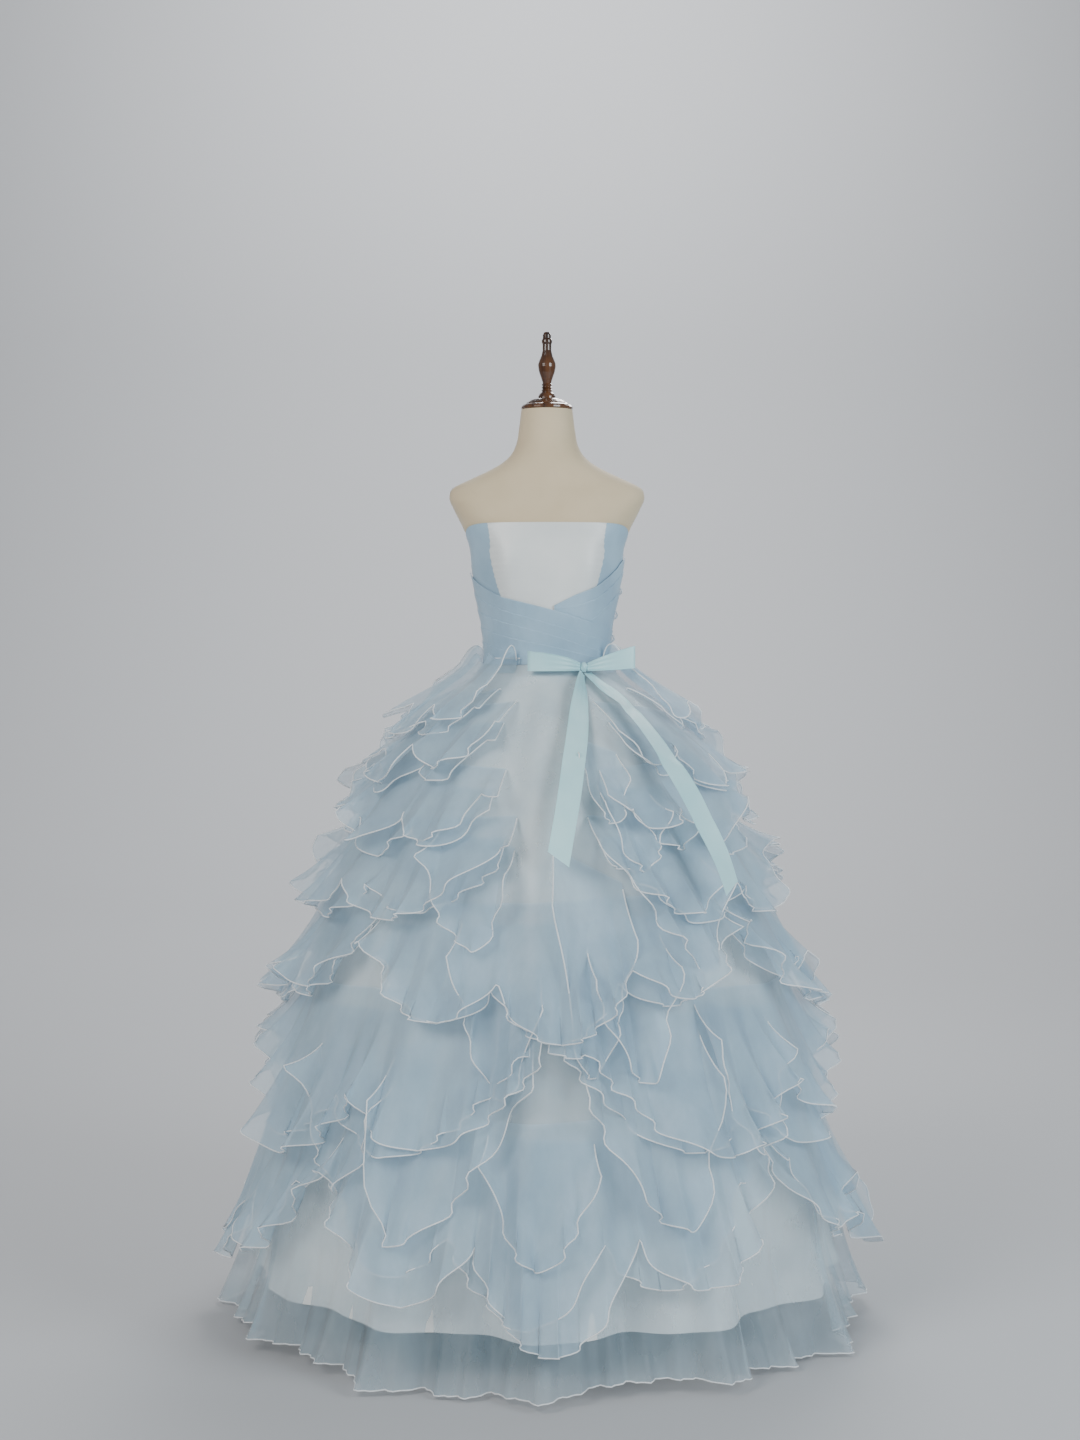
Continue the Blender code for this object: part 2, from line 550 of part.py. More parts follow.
def tail(name, rows, slant):
    """A hanging tail of ribbon that follows the skirt, cut on a slant at its end."""
    centres = []
    for x, height, stand_off, _ in rows:
        column = 0.0
        for _ in range(20):  # the column at which the skirt's surface has this x
            at = off_skirt(column, height, stand_off)
            column += (x - at[0]) / (2 * pi / COLUMNS * abs(at[1]))
        centres.append(off_skirt(column, height, stand_off))
    centres = np.array(centres)
    along = np.gradient(centres, axis=0)
    outward = centres * (1, 1, 0)
    across = np.cross(along, outward)
    across /= np.linalg.norm(across, axis=1, keepdims=True)
    halves = [row[3] for row in rows]
    grid = np.stack([centres - across * np.array(halves)[:, None], centres + across * np.array(halves)[:, None]], axis=1)
    direction = along[-1] / np.linalg.norm(along[-1])
    grid[-1, 0] += direction * slant
    grid[-1, 1] -= direction * slant
    sheet_wall(name, grid[:, ::-1], RIBBON_WALL, "aqua_ribbon")


def knot():
    mesh = bpy.data.meshes.new("bow_knot")
    work = bmesh.new()
    bmesh.ops.create_uvsphere(work, u_segments=12, v_segments=8, radius=0.5)
    bmesh.ops.scale(work, verts=work.verts, vec=KNOT_SIZE)
    work.to_mesh(mesh)
    work.free()
    add_object("bow_knot", mesh, "aqua_ribbon").location = KNOT


def bow():
    loop("bow_loop_left", LEFT_LOOP[::-1])
    loop("bow_loop_right", RIGHT_LOOP)
    tail("bow_tail_left", LEFT_TAIL, -TAIL_SLANT)
    tail("bow_tail_right", RIGHT_TAIL, TAIL_SLANT)
    knot()


clear_scene()
form_body()
turned("neck_cap", CAP_PROFILE, "turned_wood", NECK_TOP)
turned("finial", FINIAL_PROFILE, "turned_wood", NECK_TOP)
stand()
bodice_panels()
wraps()
side_frill()
header_frill()
skirts()
flounces()
bow()
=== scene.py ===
# Looks for the ball gown: satin, sheer organza with rolled white hems, a ribbon bow and a covered form.
# Metres, +Z up, the gown's front towards -Y. Angles round the gown start at the centre front, + towards +X.
from math import cos, pi, radians, sin

import bpy
import numpy as np
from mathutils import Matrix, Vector


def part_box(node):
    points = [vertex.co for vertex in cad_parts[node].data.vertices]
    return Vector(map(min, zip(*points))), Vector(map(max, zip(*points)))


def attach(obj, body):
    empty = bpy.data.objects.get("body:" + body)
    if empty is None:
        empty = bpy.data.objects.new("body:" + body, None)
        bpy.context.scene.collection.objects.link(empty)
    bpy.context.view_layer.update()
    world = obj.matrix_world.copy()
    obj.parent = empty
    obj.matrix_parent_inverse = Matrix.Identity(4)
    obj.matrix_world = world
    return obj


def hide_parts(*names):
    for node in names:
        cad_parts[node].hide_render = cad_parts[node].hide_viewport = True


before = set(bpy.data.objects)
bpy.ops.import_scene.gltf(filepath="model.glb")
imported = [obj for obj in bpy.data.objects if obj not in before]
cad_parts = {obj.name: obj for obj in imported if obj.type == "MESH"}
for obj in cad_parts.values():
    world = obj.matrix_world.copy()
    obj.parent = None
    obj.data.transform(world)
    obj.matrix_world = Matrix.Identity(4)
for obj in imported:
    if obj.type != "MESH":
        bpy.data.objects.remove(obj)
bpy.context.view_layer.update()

BODY = "root"

# ---------------------------------------------------------------- sizes, from the frame
WAIST_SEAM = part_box("bodice_centre_front")[0][2]
NECK_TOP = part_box("form_body")[1][2]
FORM_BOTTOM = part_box("form_body")[0][2]
NECKLINE_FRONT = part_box("bodice_centre_front")[1][2]
NECKLINE_SIDE = 1.420
NECKLINE_BACK = 1.405
NECKLINE_FLAT = radians(41)
SIDE_SEAM = radians(92)
CLOSURE = radians(177.5)
SATIN_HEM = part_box("satin_underskirt")[0][2]

# height, half_width, front, back, bluntness, bust
FORM = np.array([
    (0.930, 0.1550, 0.115, 0.130, 1.00, 0.00),
    (1.000, 0.1600, 0.118, 0.135, 1.00, 0.00),
    (1.100, 0.1460, 0.106, 0.120, 1.00, 0.00),
    (1.160, 0.1270, 0.091, 0.100, 1.00, 0.00),
    (1.218, 0.1145, 0.083, 0.088, 1.00, 0.00),
    (1.280, 0.1180, 0.088, 0.092, 1.00, 0.02),
    (1.340, 0.1290, 0.096, 0.098, 1.00, 0.12),
    (1.395, 0.1390, 0.102, 0.102, 1.00, 0.17),
    (1.436, 0.1435, 0.099, 0.102, 0.97, 0.12),
    (1.470, 0.1580, 0.091, 0.097, 0.90, 0.03),
    (1.502, 0.1740, 0.080, 0.088, 0.80, 0.00),
    (1.526, 0.1830, 0.068, 0.075, 0.76, 0.00),
    (1.543, 0.1760, 0.059, 0.065, 0.78, 0.00),
    (1.560, 0.1420, 0.054, 0.060, 0.84, 0.00),
    (1.576, 0.1080, 0.052, 0.058, 0.92, 0.00),
    (1.590, 0.0840, 0.052, 0.057, 1.00, 0.00),
    (1.606, 0.0670, 0.053, 0.056, 1.00, 0.00),
    (1.621, 0.0590, 0.053, 0.055, 1.00, 0.00),
    (1.650, 0.0530, 0.050, 0.051, 1.00, 0.00),
    (1.6895, 0.0480, 0.047, 0.047, 1.00, 0.00),
])
BUST_ANGLE = radians(37)
BUST_SPREAD = radians(18)
PANEL_LIFT = 0.0026
WRAP_LIFT = 0.0050
PLEAT_STEP = 0.0013
PRINCESS_HEIGHTS = [WAIST_SEAM, 1.360, 1.420, NECKLINE_FRONT]
PRINCESS_ANGLES = np.radians([26.0, 43.0, 47.5, 40.5])

# Folded upper edges of the pleats: heights at each angle round the form
WRAP_ANGLES = np.radians([-91.0, -40.0, 0.0, 41.0, 91.0])
LEFT_WRAP_EDGES = [
    (1.3870, 1.3400, 1.3175, 1.2920, 1.2760),
    (1.3510, 1.3160, 1.2905, 1.2665, 1.2530),
    (1.3190, 1.2930, 1.2710, 1.2440, 1.2340),
    (1.2870, 1.2665, 1.2490, 1.2290, 1.2210),
    (1.2590, 1.2400, 1.2240, 1.2180, 1.2160),
]
RIGHT_WRAP_ANGLES = np.radians([6.0, 24.0, 41.0, 56.0, 73.0, 91.0])
RIGHT_WRAP_EDGES = [
    (1.3230, 1.3430, 1.3580, 1.3790, 1.4040, 1.4150),
    (1.3165, 1.3230, 1.3350, 1.3530, 1.3760, 1.3900),
    (1.3145, 1.3035, 1.2960, 1.3210, 1.3420, 1.3540),
]

# The overskirt: height, half_width, front, back, flute_depth
COLUMN = radians(7.5)
SKIRT = np.array([
    (0.006, 0.588, 0.588, 0.588, 0.018),
    (0.120, 0.548, 0.548, 0.548, 0.020),
    (0.280, 0.522, 0.521, 0.522, 0.016),
    (0.450, 0.488, 0.486, 0.488, 0.012),
    (0.650, 0.442, 0.439, 0.442, 0.009),
    (0.810, 0.396, 0.392, 0.395, 0.007),
    (0.940, 0.344, 0.338, 0.342, 0.006),
    (1.045, 0.286, 0.278, 0.284, 0.005),
    (1.135, 0.206, 0.190, 0.199, 0.003),
    (1.198, 0.1310, 0.1030, 0.1090, 0.000),
    (WAIST_SEAM, 0.1195, 0.0892, 0.0938, 0.000),
])
FLUTES = 12
# Rows of flounces. label, seam, drop, reach, rise, leaves, spans as (first, last) columns
FLOUNCE_ROWS = [
    ("a", 1.198, 0.115, 0.088, 0.065, 3, [(7.5, 16), (16, 24), (24, 33), (33, 44.5)]),
    ("b", 1.135, 0.145, 0.078, 0.012, 3, [(3.2, 13), (13, 24), (24, 35), (35, 45.9)]),
    ("c", 1.045, 0.165, 0.084, 0.008, 3, [(2.3, 12), (12, 24), (24, 36), (36, 46.2)]),
    ("d", 0.940, 0.182, 0.092, 0.005, 2, [(1.5, 11), (11, 23), (23, 35), (35, 46.9)]),
    ("e", 0.810, 0.235, 0.098, 0.000, 3, [(-6, 6), (6, 18), (18, 30), (30, 42)]),
    ("f", 0.650, 0.310, 0.100, 0.000, 2, [(0, 12), (12, 24), (24, 36), (36, 48)]),
    ("g", 0.450, 0.345, 0.090, 0.000, 3, [(-6, 6), (6, 18), (18, 30), (30, 42)]),
]
# Single leaves at the front. first, last, seam_first, seam_last, drop, tip, reach, in columns and metres
FRONT_LEAVES = [
    (-4.2, -1.2, 0.930, 0.900, 0.190, 0.70, 0.075), (0.2, 2.6, 0.900, 0.840, 0.360, 0.35, 0.060),
    (2.6, 6.2, 0.900, 0.880, 0.210, 0.60, 0.085), (-4.4, -0.4, 0.560, 0.600, 0.330, 0.20, 0.085),
    (0.9, 4.4, 0.580, 0.600, 0.330, 0.70, 0.085), (-7.4, -4.2, 0.560, 0.520, 0.230, 0.60, 0.080),
    (-1.6, 1.2, 0.430, 0.420, 0.210, 0.50, 0.070), (-2.8, -0.2, 0.780, 0.700, 0.250, 0.60, 0.060),
    (4.4, 7.4, 0.640, 0.600, 0.260, 0.40, 0.085), (1.2, 3.6, 0.745, 0.760, 0.250, 0.60, 0.080),
    (1.4, 3.4, 1.090, 1.060, 0.140, 0.50, 0.045), (2.2, 4.4, 1.010, 0.990, 0.150, 0.40, 0.060),
]
SEAM_LIFT = 0.002
FLUTE_PITCH = 0.085
SEAM_SLANT = 0.013
UNDER_DROP = 0.035  # an under layer's seam is this far below its flounce's
EDGE_RADIUS = 0.0012
SELVEDGE_RADIUS = 0.0005
PUCKER_PITCH = 0.011
HEM_HEIGHT = 0.008
LOWEST = 0.012  # no flounce reaches below this

# x, y, height, half_width
LEFT_LOOP = [
    (0.0610, -0.0900, 1.2095, 0.0070), (0.0350, -0.1075, 1.2150, 0.0120),
    (0.0000, -0.1110, 1.2180, 0.0160), (-0.0280, -0.1080, 1.2195, 0.0175),
    (-0.0360, -0.1130, 1.2200, 0.0180), (-0.0290, -0.1200, 1.2195, 0.0175),
    (0.0000, -0.1240, 1.2175, 0.0155), (0.0350, -0.1190, 1.2140, 0.0120),
    (0.0610, -0.1020, 1.2095, 0.0070),
]
RIGHT_LOOP = [
    (0.0744, -0.0905, 1.2090, 0.0070), (0.1000, -0.0930, 1.2150, 0.0120),
    (0.1300, -0.0950, 1.2210, 0.0170), (0.1540, -0.0970, 1.2260, 0.0195),
    (0.1620, -0.1030, 1.2270, 0.0200), (0.1540, -0.1090, 1.2260, 0.0195),
    (0.1300, -0.1120, 1.2210, 0.0165), (0.1000, -0.1100, 1.2150, 0.0120),
    (0.0744, -0.1015, 1.2090, 0.0070),
]
# x, height, stand-off from the overskirt, half_width
LEFT_TAIL = [
    (0.0655, 1.1975, 0.009, 0.0075), (0.0630, 1.1700, 0.019, 0.0150), (0.0560, 1.1100, 0.024, 0.0195),
    (0.0450, 1.0400, 0.035, 0.0200), (0.0330, 0.9650, 0.045, 0.0200), (0.0180, 0.8850, 0.052, 0.0200),
]
RIGHT_TAIL = [
    (0.0760, 1.1980, 0.006, 0.0080), (0.1000, 1.1780, 0.016, 0.0150), (0.1450, 1.1400, 0.034, 0.0190),
    (0.1880, 1.0850, 0.058, 0.0200), (0.2300, 1.0200, 0.082, 0.0200), (0.2700, 0.9500, 0.096, 0.0200),
    (0.3020, 0.8850, 0.104, 0.0200), (0.3220, 0.8300, 0.108, 0.0200),
]
TAIL_SLANT = 0.010


# ---------------------------------------------------------------- materials
def material(name, colour, roughness, metallic=0.0):
    made = bpy.data.materials.new(name)
    made.use_nodes = True
    shader = made.node_tree.nodes["Principled BSDF"]
    shader.inputs["Base Color"].default_value = (*colour, 1)
    shader.inputs["Roughness"].default_value = roughness
    shader.inputs["Metallic"].default_value = metallic
    return made, shader


def node(made, kind, **values):
    """A node of a material, its inputs set by name, with spaces as underscores."""
    new = made.node_tree.nodes.new(kind)
    for key, value in values.items():
        new.inputs[key.replace("_", " ")].default_value = value
    return new


def noise(made, scale, detail=3.0, stretch=(1, 1, 1)):
    """A noise value in object space, stretched along an axis."""
    links = made.node_tree.links
    place = node(made, "ShaderNodeTexCoord")
    mapping = node(made, "ShaderNodeMapping", Scale=stretch)
    texture = node(made, "ShaderNodeTexNoise", Scale=scale, Detail=detail)
    links.new(place.outputs["Object"], mapping.inputs["Vector"])
    links.new(mapping.outputs["Vector"], texture.inputs["Vector"])
    return texture.outputs["Fac"]


def between(made, value, low, high):
    """A colour between two colours, by a value from 0.3 to 0.7."""
    ramp = node(made, "ShaderNodeValToRGB")
    ramp.color_ramp.elements[0].position = 0.3
    ramp.color_ramp.elements[0].color = (*low, 1)
    ramp.color_ramp.elements[1].position = 0.7
    ramp.color_ramp.elements[1].color = (*high, 1)
    made.node_tree.links.new(value, ramp.inputs["Fac"])
    return ramp.outputs["Color"]


def bump(made, shader, value, strength, distance):
    bumped = node(made, "ShaderNodeBump", Strength=strength, Distance=distance)
    made.node_tree.links.new(value, bumped.inputs["Height"])
    made.node_tree.links.new(bumped.outputs["Normal"], shader.inputs["Normal"])


def cloth_material(name, low, high, roughness, weave, crease, sheen=0.3, alpha=None):
    """Woven cloth: a slightly varied colour, a fine weave and soft creases; alpha is (thinnest, densest)."""
    made, shader = material(name, high, roughness)
    links = made.node_tree.links
    links.new(between(made, noise(made, 9.0), low, high), shader.inputs["Base Color"])
    shader.inputs["Sheen Weight"].default_value = sheen
    threads = node(made, "ShaderNodeTexNoise", Scale=weave, Detail=1.0)
    creases = noise(made, crease, 4.0, (1.0, 1.0, 0.35))
    both = node(made, "ShaderNodeMath")
    both.operation = "MULTIPLY_ADD"
    place = node(made, "ShaderNodeTexCoord")
    links.new(place.outputs["Object"], threads.inputs["Vector"])
    links.new(threads.outputs["Fac"], both.inputs[0])
    both.inputs[1].default_value = 0.15
    links.new(creases, both.inputs[2])
    bump(made, shader, both.outputs[0], 0.35, 0.004)
    if alpha:
        thin = node(made, "ShaderNodeMapRange")
        thin.inputs["To Min"].default_value = alpha[0]
        thin.inputs["To Max"].default_value = alpha[1]
        links.new(creases, thin.inputs["Value"])
        links.new(thin.outputs["Result"], shader.inputs["Alpha"])
    return made


def wood_material():
    """Dark polished turned wood, its grain running up the turning."""
    made, shader = material("turned_wood_polished", (0.09, 0.03, 0.012), 0.22)
    grain = noise(made, 60.0, 6.0, (1.0, 1.0, 0.12))
    colour = between(made, grain, (0.022, 0.008, 0.004), (0.16, 0.062, 0.022))
    made.node_tree.links.new(colour, shader.inputs["Base Color"])
    shader.inputs["Coat Weight"].default_value = 0.6
    bump(made, shader, grain, 0.08, 0.001)
    return made


def steel_material():
    made, shader = material("stand_brushed_steel", (0.56, 0.57, 0.58), 0.35, 1.0)
    bump(made, shader, noise(made, 400.0, 2.0, (1, 1, 12)), 0.1, 0.0005)
    return made


ORGANZA = cloth_material("organza_sheer", low=(0.42, 0.61, 0.76), high=(0.55, 0.74, 0.87),
                         roughness=0.42, weave=1400, crease=26, sheen=0.5, alpha=(0.30, 0.55))
OVERSKIRT = cloth_material("organza_overskirt", low=(0.46, 0.64, 0.76), high=(0.60, 0.77, 0.87),
                           roughness=0.42, weave=1400, crease=20, sheen=0.5, alpha=(0.22, 0.46))
BODICE_ORGANZA = cloth_material("organza_over_satin", low=(0.30, 0.46, 0.60), high=(0.42, 0.60, 0.74),
                                roughness=0.50, weave=1400, crease=30)
SATIN = cloth_material("white_satin_cloth", low=(0.74, 0.78, 0.78), high=(0.86, 0.89, 0.88),
                       roughness=0.36, weave=1100, crease=16)
RIBBON = cloth_material("aqua_satin_ribbon", low=(0.42, 0.76, 0.82), high=(0.56, 0.88, 0.92),
                        roughness=0.26, weave=1600, crease=30)
EDGE = cloth_material("rolled_edge_thread", low=(0.84, 0.88, 0.90), high=(0.95, 0.97, 0.98),
                      roughness=0.45, weave=2200, crease=300)
CANVAS = cloth_material("form_canvas", low=(0.64, 0.52, 0.34), high=(0.72, 0.60, 0.41),
                        roughness=0.80, weave=900, crease=14)
WOOD = wood_material()
STEEL = steel_material()


# ---------------------------------------------------------------- surfaces
def smooth_columns(table, heights):
    """A table's columns at an array of heights, on a smooth curve through its rows."""
    rows = table[:, 0]
    slopes = np.gradient(table[:, 1:], rows, axis=0)
    i = np.clip(np.searchsorted(rows, heights) - 1, 0, len(rows) - 2)
    step = rows[i + 1] - rows[i]
    s = np.clip((heights - rows[i]) / step, 0, 1)
    values = []
    for k in range(table.shape[1] - 1):
        a, b = table[i, k + 1], table[i + 1, k + 1]
        rise = (s**3 - 2 * s**2 + s) * slopes[i, k] + (s**3 - s**2) * slopes[i + 1, k]
        values.append((2 * s**3 - 3 * s**2 + 1) * a + (3 * s**2 - 2 * s**3) * b + step * rise)
    return values


def form_surface(angle, height):
    half_width, front, back, blunt, bust = smooth_columns(FORM, height)
    side, ahead = np.sin(angle), np.cos(angle)
    depth = np.where(ahead > 0, front, back)
    swell = sum(np.exp(-(((angle - apex) / BUST_SPREAD) ** 2)) for apex in (-BUST_ANGLE, BUST_ANGLE))
    x = half_width * np.abs(side) ** blunt * np.sign(side)
    y = -depth * np.abs(ahead) ** blunt * np.sign(ahead) * (1 + bust * swell)
    return np.stack([x, y, height], axis=-1)


def off_form(angle, height, lift):
    """Points off the form by `lift` along its normal."""
    step = 1e-3
    around = form_surface(angle + step, height) - form_surface(angle - step, height)
    upwards = form_surface(angle, height + step) - form_surface(angle, height - step)
    normal = np.cross(around, upwards)
    normal /= np.linalg.norm(normal, axis=-1, keepdims=True)
    return form_surface(angle, height) + normal * np.asarray(lift)[..., None]


def skirt_surface(angle, height, lift):
    """Points off the overskirt's surface; the cloth's own folds are shared by all that lies on it."""
    half_width, front, back, flute = smooth_columns(SKIRT, height)
    depth = np.where(np.cos(angle) > 0, front, back)
    uneven = 1 + 0.30 * np.sin(2 * angle + 1)
    fold = flute * uneven * (np.cos(FLUTES * angle) + 0.25 * np.cos(29 * angle + 2))
    out = fold + lift
    return np.stack([(half_width + out) * np.sin(angle), -(depth + out) * np.cos(angle), height], axis=-1)


# ---------------------------------------------------------------- meshes
def grid_object(name, grid, made, closed=False):
    along, across = grid.shape[:2]
    faces = []
    for i in range(along if closed else along - 1):
        for j in range(across - 1):
            n = (i + 1) % along
            faces.append((i * across + j, n * across + j, n * across + j + 1, i * across + j + 1))
    mesh = bpy.data.meshes.new(name)
    mesh.from_pydata(grid.reshape(-1, 3).tolist(), [], faces)
    mesh.shade_smooth()
    mesh.materials.append(made)
    obj = bpy.data.objects.new(name, mesh)
    bpy.context.scene.collection.objects.link(obj)
    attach(obj, BODY)
    return obj


def edge_cord(name, points, made=EDGE, radius=EDGE_RADIUS, closed=False):
    """A rolled hem: a thin cord of thread along an edge."""
    curve = bpy.data.curves.new(name, "CURVE")
    curve.dimensions = "3D"
    curve.bevel_depth = radius
    curve.bevel_resolution = 1
    curve.use_fill_caps = not closed
    spline = curve.splines.new("POLY")
    spline.points.add(len(points) - 1)
    spline.points.foreach_set("co", np.c_[points, np.ones(len(points))].ravel())
    spline.use_cyclic_u = closed
    curve.materials.append(made)
    obj = bpy.data.objects.new(name, curve)
    bpy.context.scene.collection.objects.link(obj)
    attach(obj, BODY)
    return obj


def sheet_object(name, grid, made, nodes=(), closed=False):
    obj = grid_object(name, grid, made, closed)
    if nodes:
        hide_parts(*nodes)
    return obj


def gathered(name, grid, nodes):
    """A gathered strip of the sheer organza; its rolled edge is drawn by the caller."""
    sheet_object(name, grid, ORGANZA, nodes)


def axes(low, high, columns, rows):
    """Two grids: one from low to high along the columns, one from 0 to 1 along the rows."""
    return np.meshgrid(np.linspace(low, high, columns), np.linspace(0, 1, rows), indexing="ij")


# ---------------------------------------------------------------- form and stand
def form():
    """The covered body, closed at the neck and the hips."""
    columns, rows = 96, 140
    angle, share = axes(0, 2 * pi * (1 - 1 / columns), columns, rows)
    height = FORM_BOTTOM + (NECK_TOP - FORM_BOTTOM) * share
    body = grid_object("form_cover_cloth", form_surface(angle, height), CANVAS, closed=True)
    mesh = body.data
    points = [tuple(v.co) for v in mesh.vertices]
    faces = [tuple(face.vertices) for face in mesh.polygons]
    faces.append(tuple(k * rows for k in range(columns)))
    faces.append(tuple(k * rows + rows - 1 for k in reversed(range(columns))))
    mesh.clear_geometry()
    mesh.from_pydata(points, [], faces)
    mesh.shade_smooth()
    mesh.set_sharp_from_angle(angle=radians(50))
    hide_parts("form_body")


def keep(names, made):
    """Gives CAD nodes whose shape is right a better material."""
    for name in names:
        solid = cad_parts[name]
        for place in solid.material_slots:
            place.material = made


# ---------------------------------------------------------------- bodice
def neckline(angle):
    turn = np.clip((np.abs(angle) - NECKLINE_FLAT) / (SIDE_SEAM - NECKLINE_FLAT), 0, 1)
    front = NECKLINE_SIDE + (NECKLINE_FRONT - NECKLINE_SIDE) * np.sqrt(1 - turn**2.2)
    behind = np.clip((np.abs(angle) - SIDE_SEAM) / radians(60), 0, 1)
    return front + (NECKLINE_BACK - NECKLINE_SIDE) * behind**2 * (3 - 2 * behind)


def princess(height):
    return np.interp(height, PRINCESS_HEIGHTS, PRINCESS_ANGLES)


def panel(name, left_of, right_of, made, slot, pucker):
    """A bodice panel between two seams, puckered beside them by its stitching, with a few soft creases."""
    share, rise = axes(0, 1, 90, 70)
    height = np.full(share.shape, NECKLINE_FRONT)
    for _ in range(4):  # the seams' angles depend on the height, so the two are settled in turns
        angle = left_of(height) + (right_of(height) - left_of(height)) * share
        height = WAIST_SEAM + (neckline(angle) - WAIST_SEAM) * rise
    beside = np.exp(-share * 12) + np.exp(-(1 - share) * 12)
    puckers = pucker * beside * np.sin(2 * pi * height / PUCKER_PITCH + 2 * np.sin(60 * height))
    creases = 0.5 * pucker * np.sin(2 * pi * (height / 0.06 + angle * 0.9)) * (1 - rise)
    lift = PANEL_LIFT + np.clip(puckers + creases, -0.0008, 0.0022)
    grid = off_form(angle, height, lift)
    sheet_object(name + "_cloth", grid, made, [name])


def seam_at(angle):
    """A straight seam up the form, as a function of height like the princess seams."""
    return lambda height: angle + 0 * height


def princess_left(height):
    return -princess(height)


def bodice():
    organza = BODICE_ORGANZA, "bodice_organza"
    satin = SATIN, "white_satin"
    panel("bodice_centre_front", princess_left, princess, *satin, pucker=0.0011)
    panel("bodice_side_front_left", seam_at(-SIDE_SEAM), princess_left, *organza, pucker=0.0006)
    panel("bodice_back_left", seam_at(-CLOSURE), seam_at(-SIDE_SEAM), *organza, pucker=0.0004)
    panel("bodice_side_front_right", princess, seam_at(SIDE_SEAM), *organza, pucker=0.0006)
    panel("bodice_back_right", seam_at(SIDE_SEAM), seam_at(CLOSURE), *organza, pucker=0.0004)
    panel("bodice_back_closure", seam_at(CLOSURE), seam_at(2 * pi - CLOSURE), *satin, pucker=0.0003)


def pleat(name, angles, upper, lower, order):
    """A pleat: it runs from under the next one up to its own folded edge, which turns back under itself."""
    share = np.array([0, 0.2, 0.4, 0.6, 0.8, 0.9, 0.96, 0.99, 1.0, 0.99, 0.96])  # of the height
    lift = np.array([0, 0.1, 0.3, 0.5, 0.75, 0.9, 1.0, 0.85, 0.5, 0.15, 0.05]) * PLEAT_STEP
    angle = np.repeat(angles[:, None], len(share), axis=1)
    height = lower[:, None] + (upper - lower)[:, None] * share
    ripple = 0.0004 * np.sin(angle * 37 + order * 2) * share
    grid = off_form(angle, height, WRAP_LIFT + lift + ripple)
    sheet_object(name + "_cloth", grid, BODICE_ORGANZA, [name])


def wraps():
    angles = np.linspace(WRAP_ANGLES[0], WRAP_ANGLES[-1], 90)
    ends = np.radians([-91, -65, -40, -20, 0, 20, 41, 66, 91])
    edges = []
    for row in LEFT_WRAP_EDGES:
        edges.append(np.interp(angles, ends, np.interp(ends, WRAP_ANGLES, row)))
    edges.append(np.full(len(angles), WAIST_SEAM))
    for k, (upper, lower) in enumerate(zip(edges, edges[1:])):
        pleat(f"wrap_left_pleat_{k + 1}", angles, upper, lower - (0.003 if k < 4 else 0), k)
    angles = np.linspace(RIGHT_WRAP_ANGLES[0], RIGHT_WRAP_ANGLES[-1], 60)
    edges = [np.interp(angles, RIGHT_WRAP_ANGLES, row) for row in RIGHT_WRAP_EDGES]
    edges.append(np.interp(angles, WRAP_ANGLES, LEFT_WRAP_EDGES[0]))
    for k, (upper, lower) in enumerate(zip(edges, edges[1:])):
        upper = np.maximum(upper, edges[-1] + 0.008 - 0.002 * k)
        lower = np.maximum(lower, edges[-1] + (0.006 - 0.002 * k if k < 2 else 0))
        pleat(f"wrap_right_pleat_{k + 1}", angles, upper, lower - 0.002, k + 5)


def frills():
    """The small frill behind the right side, and the header frill above the waist seam."""
    across, along = axes(0, 1, 8, 60)
    height = 1.368 - 0.135 * (1 - along)
    out = 0.019 * (0.35 + 0.65 * np.sin(3 * pi * along) ** 2) * across
    grid = off_form(radians(118) + 0.2 * across * np.sin(6 * pi * along), height, PANEL_LIFT + 0.001 + out)
    edge = edge_cord("side_frill_edge", grid[-1])
    gathered("side_frill_cloth", grid, ["side_frill"])
    share, rise = axes(0, 1, 60, 8)
    angle = radians(-52) + radians(28) * share
    lift = WRAP_LIFT + 0.002 + 0.0035 * rise * (0.5 + 0.5 * np.cos(8 * pi * share))
    grid = off_form(angle, WAIST_SEAM + 0.0006 + 0.0112 * rise, lift)
    edge = edge_cord("header_frill_edge", grid[:, -1])
    gathered("header_frill_cloth", grid, ["waist_header_frill"])


# ---------------------------------------------------------------- skirts
def skirts():
    angle, share = axes(0, 2 * pi * (1 - 1 / 360), 360, 60)
    height = SATIN_HEM + (WAIST_SEAM - SATIN_HEM) * share
    inside = -0.0025 - 0.011 * (1 - share)
    satin = skirt_surface(angle, height, inside)
    sheet_object("satin_underskirt_cloth", satin, SATIN,
                 ["satin_underskirt"], closed=True)
    angle, share = axes(0, 2 * pi * (1 - 1 / 480), 480, 70)
    hem = (1 - share) ** 6
    height = HEM_HEIGHT + (WAIST_SEAM - HEM_HEIGHT) * share + 0.010 * hem * (1 + np.sin(5 * angle))
    lift = hem * (0.016 * np.cos(24 * angle) + 0.008 * np.cos(61 * angle + 1)) - 0.001
    lift += (1 - share) ** 30 * 0.004 * np.sin(150 * angle)
    over = skirt_surface(angle, height, lift)
    edge = edge_cord("overskirt_rolled_hem", over[:, 0], closed=True)
    sheet_object("overskirt_cloth", over, OVERSKIRT,
                 ["overskirt"], closed=True)


